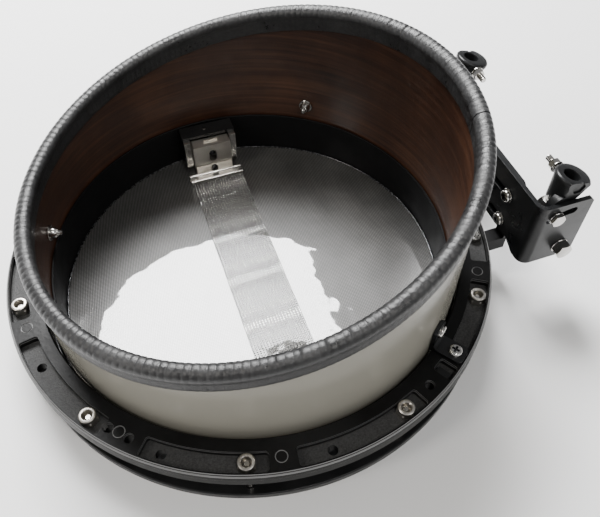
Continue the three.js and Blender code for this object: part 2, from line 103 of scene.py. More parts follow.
def tidy(bm):
    bmesh.ops.remove_doubles(bm, verts=bm.verts, dist=1e-4)
    bmesh.ops.delete(bm, geom=[edge for edge in bm.edges if not edge.link_faces], context="EDGES")
    bmesh.ops.recalc_face_normals(bm, faces=bm.faces)
    return bm


def revolve(profile_at, steps, start=0.0, sweep=360.0):
    """Turns a closed profile of (radius, height) points about Z. The profile may change with angle."""
    bm = bmesh.new()
    whole = sweep >= 360
    count = steps if whole else steps + 1
    rings = []
    for i in range(count):
        angle = start + sweep * i / steps
        c, s = polar(1, angle)
        rings.append([bm.verts.new((r * c, r * s, z)) for r, z in profile_at(angle)])
    for i in range(steps):
        here, there = rings[i], rings[(i + 1) % count]
        for k in range(len(here)):
            n = (k + 1) % len(here)
            bm.faces.new((here[k], there[k], there[n], here[n]))
    if not whole:
        bm.faces.new(rings[0])
        bm.faces.new(rings[-1][::-1])
    return tidy(bm)


def lathe(profile, steps=RING_STEPS):
    return revolve(lambda angle: profile, steps)


def tube(inner, outer, low, high, steps=40, edge=0.3):
    """A tube along Z, chamfered outside."""
    return lathe([(inner, low), (outer - edge, low), (outer, low + edge),
                  (outer, high - edge), (outer - edge, high), (inner, high)], steps)


def bar(radius, low, high, edge=0.4, steps=40):
    """A round bar along Z with chamfered ends."""
    return tube(0, radius, low, high, steps, edge)


def drill(radius, low, high):
    """The cutter of a round hole along Z."""
    return bar(radius, low, high, 0.01, DRILL_STEPS)


def hexagon(flats, low, high, bore=0.0, both=False):
    """A hexagon along Z with its corners turned down at the top, and at the foot too if both."""
    round_radius = flats / 2 * 0.97
    steepness = 1.8

    def profile_at(angle):
        radius = flats / 2 / math.cos(rad(angle % 60 - 30))
        drop = (radius - round_radius) / steepness
        foot = [(bore, low), (round_radius, low), (radius, low + drop)] if both else \
            [(bore, low), (radius - 0.05, low), (radius, low + 0.1)]
        return foot + [(radius, high - drop), (round_radius, high), (bore, high)]

    return revolve(profile_at, 72)


def prism(outline, low, high):
    """A flat outline of (x, y) points, pulled up along Z."""
    bm = bmesh.new()
    foot = [bm.verts.new((x, y, low)) for x, y in outline]
    top = [bm.verts.new((x, y, high)) for x, y in outline]
    bm.faces.new(foot[::-1])
    bm.faces.new(top)
    for k in range(len(outline)):
        n = (k + 1) % len(outline)
        bm.faces.new((foot[k], foot[n], top[n], top[k]))
    return tidy(bm)


def block(low, high):
    (x0, y0, z0), (x1, y1, z1) = low, high
    return prism([(x0, y0), (x1, y0), (x1, y1), (x0, y1)], z0, z1)


def rounded(points, radii, steps=6):
    """A polygon with its corners rounded. radii is one number or one for each corner."""
    if not hasattr(radii, "__len__"):
        radii = [radii] * len(points)
    outline = []
    for k, (point, radius) in enumerate(zip(points, radii)):
        p = Vector(point)
        if radius <= 0:
            outline.append(tuple(p))
            continue
        before = (Vector(points[k - 1]) - p).normalized()
        after = (Vector(points[(k + 1) % len(points)]) - p).normalized()
        half = before.angle(after) / 2
        centre = p + (before + after).normalized() * radius / math.sin(half)
        start = p + before * radius / math.tan(half) - centre
        end = p + after * radius / math.tan(half) - centre
        turn = math.atan2(start.x * end.y - start.y * end.x, start.dot(end))
        for i in range(steps + 1):
            spot = Matrix.Rotation(turn * i / steps, 2) @ start + centre
            outline.append((spot.x, spot.y))
    return outline


def capsule(start, end, radius, steps=8):
    """The outline of a slot between two centres."""
    a, b = Vector(start), Vector(end)
    heading = math.degrees(math.atan2(b.y - a.y, b.x - a.x))
    outline = []
    for centre, first in ((b, heading - 90), (a, heading + 90)):
        for i in range(steps + 1):
            dx, dy = polar(radius, first + 180 * i / steps)
            outline.append((centre.x + dx, centre.y + dy))
    return outline


def sector(inner, outer, start, end, corner_radius, low, high):
    """A pocket's shape: part of a flat ring between two angles, with rounded corners."""
    middle = (inner + outer) / 2
    length = rad(end - start) * middle
    spans = max(2, round((end - start) / 2))
    flat = rounded([(0, inner), (length, inner), (length, outer), (0, outer)], corner_radius, 5)
    along = []
    for k, (s, r) in enumerate(flat):
        along.append((s, r))
        next_s = flat[(k + 1) % len(flat)][0]
        if abs(next_s - s) > length / 2:
            along += [(s + (next_s - s) * i / spans, r) for i in range(1, spans)]
    return prism([polar(r, start + math.degrees(s / middle)) for s, r in along], low, high)


def merged(*parts):
    """Several separate forms as one."""
    bm = bmesh.new()
    for part in parts:
        mesh = bpy.data.meshes.new("part")
        part.to_mesh(mesh)
        part.free()
        bm.from_mesh(mesh)
        bpy.data.meshes.remove(mesh)
    return bm


def placed(bm, matrix):
    bmesh.ops.transform(bm, matrix=matrix, verts=bm.verts)
    if matrix.determinant() < 0:
        bmesh.ops.reverse_faces(bm, faces=bm.faces)
    return bm


def moved(bm, x=0.0, y=0.0, z=0.0):
    return placed(bm, Matrix.Translation((x, y, z)))


def turned(bm, degrees, axis="Z"):
    return placed(bm, Matrix.Rotation(rad(degrees), 4, axis))


def along_x(bm, x=0.0, y=0.0, z=0.0):
    """Lays a form made along Z along X, its top towards +X."""
    return moved(turned(bm, 90, "Y"), x, y, z)


def along_y(bm, x=0.0, y=0.0, z=0.0):
    """Lays a form made along Z along Y, its top towards +Y."""
    return moved(turned(bm, -90, "X"), x, y, z)


def facing_x(outline, low, high):
    """A plate standing square to X: outline points are (y, z), and low and high are x."""
    return placed(prism(outline, low, high), Matrix(((0, 0, 1, 0), (1, 0, 0, 0), (0, 1, 0, 0), (0, 0, 0, 1))))


def facing_y(outline, low, high):
    """A plate standing square to Y: outline points are (x, z), and low and high are y."""
    return placed(prism(outline, low, high), Matrix(((1, 0, 0, 0), (0, 0, 1, 0), (0, 1, 0, 0), (0, 0, 0, 1))))


def mirrored(bm):
    return placed(bm, Matrix.Scale(-1, 4, (0, 1, 0)))


def added(name, data):
    """A new object in the scene."""
    obj = bpy.data.objects.new(name, data)
    bpy.context.scene.collection.objects.link(obj)
    return obj


def solid_object(bm, name):
    """An object with two material slots, the second for marked faces, as in a screw's recess."""
    mesh = bpy.data.meshes.new(name)
    mesh.materials.append(None)
    mesh.materials.append(None)
    bm.to_mesh(mesh)
    bm.free()
    return added(name, mesh)


def evaluated(obj):
    bpy.context.view_layer.update()
    return obj.evaluated_get(bpy.context.evaluated_depsgraph_get())


def shape_of(obj):
    """The object's shape with its modifiers carried out, as a bmesh."""
    seen = evaluated(obj)
    bm = bmesh.new()
    bm.from_mesh(seen.to_mesh())
    seen.to_mesh_clear()
    return bm


def discard(obj):
    mesh = obj.data
    bpy.data.objects.remove(obj)
    bpy.data.meshes.remove(mesh)


def settle(obj):
    """The object's shape as a bmesh. The object goes."""
    bm = shape_of(obj)
    discard(obj)
    return bm


def combine(bm, tool, operation):
    target = solid_object(bm, "target")
    cutter = solid_object(tool, "cutter")
    step = target.modifiers.new("combine", "BOOLEAN")
    step.operation = operation
    step.solver = "EXACT"
    step.object = cutter
    result = settle(target)
    discard(cutter)
    return result


def cut(bm, *tools):
    """Cuts away tools that don't touch each other."""
    return combine(bm, merged(*tools), "DIFFERENCE")


def joined(bm, *parts):
    for part in parts:
        bm = combine(bm, part, "UNION")
    return bm


def softened(bm, width, segments=2, angle=30):
    """Rounds the edges that are sharper than an angle."""
    obj = solid_object(bm, "soft")
    step = obj.modifiers.new("round", "BEVEL")
    step.width = width
    step.segments = segments
    step.limit_method = "ANGLE"
    step.angle_limit = rad(angle)
    step.use_clamp_overlap = True
    return settle(obj)


def evened(obj):
    """Keeps the shading of big flat faces true to their plane."""
    step = obj.modifiers.new("even", "WEIGHTED_NORMAL")
    step.keep_sharp = True
    mesh = bpy.data.meshes.new_from_object(evaluated(obj))
    obj.modifiers.clear()
    old = obj.data
    obj.data = mesh
    bpy.data.meshes.remove(old)


def piece(name, bm, body, nodes, slot, smooth=38, material=None, second="dark_screw"):
    """Makes the finished piece that stands for its CAD nodes. Marked faces get the second material: painted
    shade in a screw's recess, and the darker, rougher arms on the mount plate.
    """
    placed(bm, Matrix.Scale(MM, 4))
    obj = solid_object(bm, name)
    mesh = obj.data
    mesh.shade_smooth()
    mesh.set_sharp_from_angle(angle=rad(smooth))
    mesh.materials[0] = material or MATERIALS[slot]
    if any(face.material_index for face in mesh.polygons):
        mesh.materials[1] = MATERIALS[second]
    else:
        mesh.materials.pop(index=1)
    evened(obj)
    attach(obj, body)
    if nodes:
        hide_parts(*nodes)


# ---- materials ----


class Nodes:
    """Short forms for building a material's node tree."""

    def __init__(self, name):
        self.material = bpy.data.materials.new(name)
        self.material.use_nodes = True
        self.tree = self.material.node_tree
        self.shader = self.tree.nodes["Principled BSDF"]
        self.coords = self.add("ShaderNodeTexCoord").outputs["Object"]

    def add(self, kind, **settings):
        node = self.tree.nodes.new(kind)
        for key, value in settings.items():
            setattr(node, key, value)
        return node

    def link(self, out, socket):
        self.tree.links.new(out, socket)

    def set(self, **values):
        for key, value in values.items():
            self.shader.inputs[key.replace("_", " ")].default_value = value

    def stretched(self, x, y, z):
        node = self.add("ShaderNodeMapping")
        node.inputs["Scale"].default_value = (x, y, z)
        self.link(self.coords, node.inputs["Vector"])
        return node.outputs["Vector"]

    def noise(self, scale, detail=4, roughness=0.55, vector=None, distortion=0.0):
        node = self.add("ShaderNodeTexNoise")
        node.inputs["Scale"].default_value = scale
        node.inputs["Detail"].default_value = detail
        node.inputs["Roughness"].default_value = roughness
        node.inputs["Distortion"].default_value = distortion
        self.link(vector or self.coords, node.inputs["Vector"])
        return node.outputs["Fac"]

    def math(self, operation, a, b=None):
        node = self.add("ShaderNodeMath", operation=operation)
        for socket, value in zip(node.inputs, (a, b)):
            if value is None:
                continue
            if isinstance(value, (int, float)):
                socket.default_value = value
            else:
                self.link(value, socket)
        return node.outputs[0]

    def plus(self, a, b):
        return self.math("ADD", a, b)

    def times(self, a, b):
        return self.math("MULTIPLY", a, b)

    def ramp(self, fac, stops):
        node = self.add("ShaderNodeValToRGB")
        elements = node.color_ramp.elements
        for k, (place, color) in enumerate(stops):
            element = elements[k] if k < 2 else elements.new(place)
            element.position = place
            element.color = (*color, 1)
        self.link(fac, node.inputs["Fac"])
        return node.outputs["Color"]

    def spread(self, fac, low, high, out_low, out_high):
        node = self.add("ShaderNodeMapRange")
        values = {"From Min": low, "From Max": high, "To Min": out_low, "To Max": out_high}
        for key, value in values.items():
            node.inputs[key].default_value = value
        self.link(fac, node.inputs["Value"])
        return node.outputs["Result"]

    def base(self, color):
        self.link(color, self.shader.inputs["Base Color"])

    def rough(self, value):
        self.link(value, self.shader.inputs["Roughness"])

    def bump(self, height, distance, strength=1.0):
        node = self.add("ShaderNodeBump")
        node.inputs["Strength"].default_value = strength
        node.inputs["Distance"].default_value = distance
        self.link(height, node.inputs["Height"])
        self.link(node.outputs["Normal"], self.shader.inputs["Normal"])


def speckled(name, dark, light, rough, metallic, scale, bump, bump_scale, shine=0.5):
    """A finish with soft changes of tone and gloss, and a fine grain of its own."""
    n = Nodes(name)
    cloud = n.noise(scale, 5)
    n.base(n.ramp(cloud, [(0.35, dark), (0.7, light)]))
    n.rough(n.spread(n.noise(scale * 2.7, 3), 0.3, 0.7, *rough))
    n.bump(n.noise(bump_scale, 3), bump)
    n.set(Metallic=metallic, Specular_IOR_Level=shine)
    return n.material


def ring_cast():
    """The lug ring's finish: smooth lands, sandy pocket floors, and a painted highlight along the outer and
    pocket edges.
    """
    n = Nodes("ring_cast")
    n.set(Specular_IOR_Level=0.11)
    split = n.add("ShaderNodeSeparateXYZ")
    n.link(n.coords, split.inputs["Vector"])
    height = split.outputs["Z"]

    def near(level, reach):
        return n.math("LESS_THAN", n.math("ABSOLUTE", n.math("SUBTRACT", height, level * MM)), reach * MM)

    floor = near(POCKET["floor"], 0.2)
    # Painted highlight: the top bevels and the rim's step get a lighter tone, as edges catching the light.
    # The inner edge is left out.
    edges = n.plus(near(RING_TOP - 0.36, 0.33), near(RING_TOP - 2.5, 0.45))
    reach = n.add("ShaderNodeVectorMath", operation="LENGTH")
    n.link(n.coords, reach.inputs[0])
    inner_edge = math.hypot(RING_OUT - RING_BAND + 2, RING_TOP)
    edges = n.times(edges, n.math("GREATER_THAN", reach.outputs["Value"], inner_edge * MM))
    cloud, sand = n.noise(25, 5), n.noise(700, 3, 0.7)
    tone = n.plus(n.times(cloud, 0.012), 0.001)
    tone = n.plus(tone, n.times(floor, n.times(sand, 0.085)))
    # The painted edge highlight goes into the base colour.
    tone = n.plus(tone, n.times(edges, 0.22))
    n.base(tone)
    n.rough(n.spread(cloud, 0.3, 0.7, 0.28, 0.42))
    grain = n.plus(n.times(n.noise(330, 3), 0.35), n.times(floor, sand))
    n.bump(grain, 0.0004)
    return n.material


def stained_wood():
    n = Nodes("stained_wood")
    n.set(Coat_Weight=0.22, Coat_Roughness=0.18, Specular_IOR_Level=0.4)
    grain = n.noise(4, 8, 0.65, n.stretched(1.4, 1.4, 60), 0.6)
    pores = n.noise(9, 4, 0.7, n.stretched(3, 3, 260))
    both = n.plus(n.times(grain, 0.75), n.times(pores, 0.25))
    blotches = n.noise(11, 4, 0.6)
    both = n.plus(n.times(both, 0.62), n.times(blotches, 0.38))
    n.base(n.ramp(both, [(0.36, (0.013, 0.0060, 0.0040)), (0.5, (0.042, 0.0175, 0.0098)),
                         (0.66, (0.100, 0.043, 0.022))]))
    n.rough(n.spread(pores, 0.3, 0.7, 0.28, 0.48))
    n.bump(pores, 0.00012)
    return n.material


def gloss_wrap():
    n = Nodes("gloss_wrap")
    # Base tones: a grey cream darker than the wrap's own white, as painted shade on the wall.
    n.base(n.ramp(n.noise(3, 3), [(0.3, (0.235, 0.223, 0.187)), (0.7, (0.285, 0.272, 0.230))]))
    n.rough(n.spread(n.noise(40, 3), 0.3, 0.7, 0.14, 0.2))
    n.bump(n.noise(7, 2, 0.5, n.stretched(1, 1, 2.5)), 0.0006, 0.35)
    return n.material


def guard_rubber():
    """Soft black rubber, scored across, with tone and gloss that change at random."""
    n = Nodes("guard_rubber")
    strokes = n.noise(420, 4, 0.7)
    smears = n.noise(55, 5, 0.65)
    tone = n.plus(n.times(strokes, 0.45), n.times(smears, 0.55))
    n.base(n.ramp(tone, [(0.36, (0.009, 0.009, 0.0095)), (0.66, (0.036, 0.036, 0.0365))]))
    n.rough(n.spread(tone, 0.35, 0.65, 0.24, 0.5))
    n.bump(n.plus(strokes, n.times(smears, 0.6)), 0.0005, 0.8)
    return n.material


def head_film():
    """Woven fibre under a glossy film that isn't quite flat."""
    n = Nodes("head_film")
    pitch, heading = 0.00105, 52
    n.set(Coat_Weight=1.0, Coat_Roughness=0.03, Coat_IOR=1.7)
    turn = n.add("ShaderNodeVectorRotate", rotation_type="Z_AXIS")
    turn.inputs["Angle"].default_value = rad(heading)
    n.link(n.coords, turn.inputs["Vector"])
    split = n.add("ShaderNodeSeparateXYZ")
    n.link(turn.outputs["Vector"], split.inputs["Vector"])
    waves = [n.math("SINE", n.times(split.outputs[k], math.pi / pitch)) for k in "XY"]
    weave = n.times(waves[0], waves[1])
    tone = n.plus(weave, n.times(n.math("SUBTRACT", n.noise(30, 4), 0.5), 0.8))
    n.base(n.ramp(n.spread(tone, -1, 1, 0, 1), [(0.25, (0.012, 0.012, 0.012)), (0.55, (0.045, 0.044, 0.042)),
                                                (0.95, (0.22, 0.215, 0.205))]))
    n.rough(n.spread(weave, -1, 1, 0.45, 0.35))
    waviness = n.add("ShaderNodeBump")
    waviness.inputs["Distance"].default_value = 0.0012
    n.link(n.noise(13, 3, 0.5), waviness.inputs["Height"])
    n.link(waviness.outputs["Normal"], n.shader.inputs["Coat Normal"])
    n.bump(weave, 0.00012, 0.5)
    return n.material


MATERIALS = {
    "stained_wood": stained_wood(),
    "gloss_wrap": gloss_wrap(),
    "black_liner": speckled("black_liner", (0.003, 0.003, 0.0034), (0.006, 0.006, 0.0066),
                            (0.5, 0.62), 0.0, 14, 0.00006, 300, 0.2),
    "guard_rubber": guard_rubber(),
    "head_film": head_film(),
    "black_cast": speckled("black_cast", (0.005, 0.0052, 0.0055), (0.013, 0.0134, 0.0142),
                           (0.28, 0.42), 0.0, 22, 0.00016, 330, 0.3),
    "black_steel": speckled("black_steel", (0.005, 0.0052, 0.0056), (0.011, 0.0115, 0.0125),
                            (0.26, 0.38), 0.0, 18, 0.00005, 520, 0.4),
    "chrome": speckled("chrome", (0.46, 0.445, 0.42), (0.64, 0.625, 0.60),
                       (0.12, 0.25), 1.0, 90, 0.00002, 600),
    "nickel": speckled("nickel", (0.50, 0.475, 0.43), (0.60, 0.575, 0.53),
                       (0.3, 0.4), 1.0, 12, 0.00001, 700),
    "dark_screw": speckled("dark_screw", (0.07, 0.07, 0.072), (0.16, 0.16, 0.165),
                           (0.2, 0.35), 1.0, 200, 0.00004, 700),
    "wire_steel": speckled("wire_steel", (0.62, 0.62, 0.60), (0.80, 0.80, 0.78),
                           (0.18, 0.3), 1.0, 300, 0.00002, 900),
}

# ---- camera ----
# fitted to the photo: place in millimetres, turn in degrees, lens in millimetres
CAMERA = {"place": (-84.1, -361.8, 491.0), "turn": (38.08, -0.09, -19.56), "lens": 39.7}


def add_camera():
    data = bpy.data.cameras.new("camera")
    data.lens = CAMERA["lens"]
    data.clip_start = 0.01
    camera = added("camera", data)
    camera.location = Vector(CAMERA["place"]) * MM
    camera.rotation_euler = [rad(a) for a in CAMERA["turn"]]
    bpy.context.scene.camera = camera


# ---- shell, wrap, liner and guard ----


def sloped(bm, above):
    """Lifts what is above a height to the slanting rim."""
    for v in bm.verts:
        if v.co.z > above:
            v.co.z += RIM_SLOPE * v.co.x
    return bm


def make_shell():
    for name, node, inner, outer, slot in (
            ("wood_shell", "shell", SHELL_OUT - SHELL_WALL, SHELL_OUT, "stained_wood"),
            ("shell_wrap", "outer_wrap", WRAP_OUT - WRAP_WALL, WRAP_OUT, "gloss_wrap")):
        foot, top = corner(node, 0).z, RIM[node]
        wall = lathe([(inner, foot), (outer, foot), (outer, top), (inner, top)])
        piece(name, sloped(wall, foot + 1), "drum", [node], slot)
    foot = corner("bearing_liner", 0).z
    inner, outer = LINER_OUT - LINER_WALL, LINER_OUT - 0.3
    liner = lathe([(inner, foot + 0.5), (inner + 0.4, foot), (outer, foot), (outer, LINER_TOP - 0.3),
                   (outer - 0.3, LINER_TOP), (inner + 0.3, LINER_TOP), (inner, LINER_TOP - 0.3)])
    piece("bearing_edge_liner", liner, "drum", ["bearing_liner"], "black_liner", smooth=30)
    bead_radius, bead_sides = 0.7, 12
    bead = [(inner - 0.75 + dr, foot + 0.85 + dz)
            for dr, dz in (polar(bead_radius, 360 / bead_sides * i) for i in range(bead_sides))]
    piece("bearing_edge_bead", lathe(bead), "drum", [], "dark_screw", smooth=60)


GUARD = {"ribs": 208, "rib_steps": 8, "groove": 0.75, "wide": 6.7, "high": 6.1, "foot": 127,
         "seam": -17, "seam_half": 0.16}


def guard_profile(angle):
    """The rubber channel's section. Its round bead swells and narrows with each rib."""
    phase = angle * GUARD["ribs"] / 360
    rib = abs(math.sin(math.pi * phase)) ** 0.6
    uneven = 0.75 + 0.25 * math.sin(angle * 0.61) * math.sin(angle * 1.7 + 1)
    swell = GUARD["groove"] * uneven * (1 - rib)
    centre_r, centre_z = 174.6, 141.4
    channel_in, channel_out, roof = SHELL_OUT - 6.2, WRAP_OUT + 0.3, 138.3
    leg_out = WRAP_OUT + 1.7 - swell * 0.35
    leg_in = SHELL_OUT - 8.0 + swell * 0.2
    foot = GUARD["foot"]
    points = [(channel_out, foot), (leg_out - 0.5, foot), (leg_out, foot + 0.8), (leg_out, foot + 4),
              (leg_out - 0.1, foot + 8.4)]
    bead_from, bead_sweep, bead_steps = -40, 248, 22
    for i in range(bead_steps + 1):
        turn = bead_from + i * bead_sweep / bead_steps
        ridge = swell * (0.4 + 0.6 * max(0, math.sin(rad(turn))))
        dr, dz = polar(1, turn)
        points.append((centre_r + dr * (GUARD["wide"] - ridge), centre_z + dz * (GUARD["high"] - ridge)))
    points += [(leg_in, foot + 7.5), (leg_in, foot + 4), (leg_in + 0.1, foot + 0.8), (leg_in + 0.5, foot),
               (channel_in, foot), (channel_in, roof), (channel_out, roof)]
    return points


def make_guard():
    half = GUARD["seam_half"]
    start = GUARD["seam"] + half
    steps = GUARD["ribs"] * GUARD["rib_steps"]
    guard = revolve(guard_profile, steps, start, 360 - 2 * half)
    piece("rim_guard", sloped(guard, 0), "drum", ["edge_guard"], "guard_rubber", smooth=50)


# ---- head and hoops ----


def make_head():
    edge = HEAD_OUT - 3
    film = lathe([(0, 0), (edge, 0), (edge, 1), (0, 1)])
    piece("playing_head", film, "drum", ["batter_head"], "head_film", smooth=30)
    collar = lathe([(edge + 0.02, 0), (HEAD_OUT - 0.6, 0), (HEAD_OUT, 0.6), (HEAD_OUT, 9),
                    (HEAD_OUT - 1.1, 9), (HEAD_OUT - 1.1, 1.5), (HEAD_OUT - 1.6, 1), (edge + 0.02, 1)])
    piece("head_collar", collar, "drum", [], "black_liner", smooth=30)
    low, high = corner("flesh_hoop", 0), corner("flesh_hoop", 1)
    inner = HEAD_OUT + 0.5
    outline = rounded([(inner, low.z), (high.x, low.z), (high.x, high.z), (inner, high.z)], 1.6, 4)
    piece("inner_hoop", lathe(outline), "drum", ["flesh_hoop"], "black_cast")


def make_counter_hoop():
    foot, outer = HOOP_FOOT, HOOP_OUT
    outline = rounded([(179.5, foot), (outer, foot), (outer, -1), (188.5, -1), (188.5, 12), (184.4, 12),
                       (184.4, 3.7), (179.5, 3.7)], [1.2, 1.5, 1.2, 2.4, 1.2, 0.6, 0.4, 0.8], 4)
    holes = []
    head_room, rod_room, seat = 6.3, 3.1, -3.5
    for lug in range(LUGS):
        hole = lathe([(0, foot - 1), (head_room, foot - 1), (head_room, seat), (rod_room, seat),
                      (rod_room, 1), (0, 1)], 32)
        holes.append(moved(hole, *polar(LUG_RADIUS, lug * LUG_STEP)))
    hoop = softened(cut(lathe(outline), *holes), 0.25, 1, 50)
    piece("counterhoop", hoop, "drum", ["counter_hoop"], "black_cast")


# ---- lug ring, rods and nuts ----
POCKET = {"inner": 190.2, "outer": 205.4, "floor": 36.2, "end": 4.6, "corner": 2.4}
PADS = {  # degrees past the lug: where the pad ends, its spare holes and its cast marks
    "plain": {"end": 10.5, "holes": [], "marks": [7.2]},
    "drilled": {"end": 14, "holes": [5.6, 10.8], "marks": [8.1]},
    "braced": {"end": 11.5, "holes": [7.8], "marks": []},
}
BRACE_HALF_ANGLE = 2.75
MARK = {"place": 195.5, "radius": 4.7, "groove": 0.7, "depth": 0.5}
SPARE_HOLE = 3.9
ROD_HOLE = 3.1
BOLT_HOLE = 3.4


def ring_body():
    """The ring's turned section: a land, a stepped rim and a rounded foot."""
    inner = RING_OUT - RING_BAND
    outline = [(inner, RING_FOOT + 1), (inner + 1, RING_FOOT), (RING_OUT - 1.2, RING_FOOT),
               (RING_OUT, RING_FOOT + 1.2), (RING_OUT, RING_TOP - 3.4), (RING_OUT - 0.3, RING_TOP - 2.8),
               (RING_OUT - 1.3, RING_TOP - 2.2), (RING_OUT - 1.6, RING_TOP - 0.4), (RING_OUT - 2, RING_TOP),
               (inner + 1.2, RING_TOP), (inner, RING_TOP - 1.2)]
    return lathe(outline)


def mark_disc(angle):
    """A shallow circular groove left by the casting's ejector pin."""
    outer, foot, top = MARK["radius"], RING_TOP - MARK["depth"], RING_TOP + 1
    inner = outer - MARK["groove"]
    groove = lathe([(inner, foot), (outer, foot), (outer, top), (inner, top)], 40)
    return moved(groove, *polar(MARK["place"], angle))


def make_lug_ring():
    pockets, drills = [], []
    top = RING_TOP + 1

    def pocket(start, end):
        inner, outer = POCKET["inner"], POCKET["outer"]
        pockets.append(sector(inner, outer, start, end, POCKET["corner"], POCKET["floor"], top))

    def hole(radius, x, y):
        drills.append(moved(bar(radius, RING_FOOT - 1, top, 0.01, 28), x, y))

    for lug in range(LUGS):
        angle = lug * LUG_STEP
        middle = angle + LUG_STEP / 2
        braced = lug in BRACED_LUGS
        pad = PADS["braced" if braced else ("drilled", "plain")[lug % 2]]
        if braced:
            pocket(angle + pad["end"], middle - BRACE_HALF_ANGLE)
            pocket(middle + BRACE_HALF_ANGLE, angle + LUG_STEP + POCKET["end"])
        else:
            pocket(angle + pad["end"], angle + LUG_STEP + POCKET["end"])
            if lug not in ARM_LUGS:
                hole(SPARE_HOLE, *polar(LUG_RADIUS, middle))
        hole(ROD_HOLE, *polar(LUG_RADIUS, angle))
        for offset in pad["holes"]:
            hole(SPARE_HOLE, *polar(LUG_RADIUS - 1, angle + offset))
        pockets.extend(mark_disc(angle + offset) for offset in pad["marks"])
    for side in (-1, 1):
        hole(BOLT_HOLE, ARM["bolt_x"], side * ARM["centre"])
    ring = cut(cut(ring_body(), *pockets), *drills)
    piece("cast_lug_ring", softened(ring, 0.7, 2, 35), "drum", ["lug_ring"], "black_cast", 40, ring_cast())
    stop = block((-5.6, -3.2, POCKET["floor"] + 0.05), (5.6, 3.2, RING_TOP - 2.2))
    stop = softened(moved(stop, LUG_RADIUS + 0.3), 0.6, 2)
    piece("ring_stop", turned(stop, BRACE_ANGLES[2] - 5.4), "drum", [], "black_cast")


def thread(radius, low, high, pitch=1.2, depth=0.35):
    """Profile points of a threaded length, as close rings."""
    turns = max(1, round((high - low) / pitch))
    points = []
    for k in range(turns):
        z = low + (high - low) * k / turns
        points += [(radius, z), (radius - depth, z + (high - low) / turns / 2)]
    return points


def rod_form():
    """A tension rod: slotted cap head under the hoop, plain shank, threaded end."""
    low, high = corner("tension_rod_01", 0).z, corner("tension_rod_01", 1).z
    head, shank, seat, thread_from = 5.2, 2.75, -3.9, 22
    profile = [(0, low), (head - 0.6, low), (head, low + 0.6), (head, seat - 0.5), (head - 0.6, seat),
               (shank, seat), (shank, thread_from)]
    profile += thread(shank, thread_from + 0.5, high - 1) + [(2.6, high - 1), (1.9, high), (0, high)]
    slot_cut = block((-6, -0.8, low - 1), (6, 0.8, low + 2))
    return cut(lathe(profile, 24), slot_cut)


def nut_form():
    """A sleeve nut: hexagon below a round chamfered crown, with a wide mouth."""
    flats, bore, mouth = 13.0, 3.1, 3.7
    crown = flats / 2 + 0.1

    def profile_at(angle):
        radius = flats / 2 / math.cos(rad(angle % 60 - 30))
        shoulder = NUT_TOP - 3.4 - (radius - flats / 2) * 0.8
        return [(bore, NUT_FOOT), (radius - 0.2, NUT_FOOT), (radius, NUT_FOOT + 0.3), (radius, shoulder),
                (crown, NUT_TOP - 3.2), (crown, NUT_TOP - 1.4), (crown - 0.35, NUT_TOP - 0.6),
                (crown - 1, NUT_TOP - 0.1), (crown - 1.6, NUT_TOP), (mouth + 0.7, NUT_TOP),
                (mouth + 0.15, NUT_TOP - 0.5), (mouth, NUT_TOP - 1), (mouth, 38.8), (bore, 38.2)]

    return revolve(profile_at, 72)


def make_lugs():
    rod, nut = rod_form(), nut_form()
    for lug in range(LUGS):
        number = f"{lug + 1:02d}"
        angle = lug * LUG_STEP
        x, y = polar(LUG_RADIUS, angle)
        spot = Matrix.Translation((x, y, 0)) @ Matrix.Rotation(rad(angle), 4, "Z")
        rod_here, nut_here = placed(rod.copy(), spot), placed(nut.copy(), spot)
        piece(f"rod_{number}", rod_here, f"rod_{number}", [f"tension_rod_{number}"], "chrome")
        piece(f"sleeve_nut_{number}", nut_here, "drum", [f"lug_nut_{number}"], "nickel", smooth=28)
    rod.free()
    nut.free()


# ---- screws ----


def cross_recess(size, floor, top):
    """The cutter of a screwdriver's cross, marked for the second material, which paints the recess dark as
    painted shade.
    """
    arm, width = size, size * 0.3
    outline, quarter = [], [(arm, width), (width, width), (width, arm)]
    for _ in range(4):
        outline += quarter
        quarter = [(-y, x) for x, y in quarter]
    cross = prism(outline, floor, top)
    # The cross's faces take the dark second material: painted shade inside the recess.
    for face in cross.faces:
        face.material_index = 1
    return cross


def pan_screw(head, height, shank, length):
    """A cross-recessed pan-head screw along Z, its seat at zero and its shank below."""
    profile = [(0, -length), (shank - 0.4, -length), (shank, -length + 0.5), (shank, 0), (head, 0),
               (head, height * 0.35)]
    for i in range(1, 7):
        dr, dz = polar(1, i * 15)
        profile.append((head * (0.62 + 0.38 * dr), height * (0.35 + 0.65 * dz)))
    profile.append((0, height))
    return cut(lathe(profile, 40), cross_recess(head * 0.58, height * 0.05, height + 1))


# ---- brackets between ring and shell ----


def brace_form():
    """A bracket: its upright tab on the shell and its foot on the ring."""
    high = corner("shell_brace_a", 1).z
    foot = RING_TOP + 0.3
    inner, outer, half, thick = 178.3, 205.0, 8.0, 3.0
    top = half - 0.01
    tab = rounded([(-half, foot), (half, foot), (half, high), (-half, high)], [0, 0, top, top], 10)
    upright = facing_x(tab, inner, inner + thick)
    flat = rounded([(inner, -half), (outer, -half), (outer, half), (inner, half)], [0, 3.6, 3.6, 0], 5)
    lying = prism(flat, foot, foot + thick)
    side, above, leg = inner + thick - 0.1, foot + thick - 0.1, 2.5
    fill = facing_y([(side, above), (side + leg, above), (side, above + leg)], -half + 0.4, half - 0.4)
    return softened(joined(upright, lying, fill), 0.5, 2, 40)


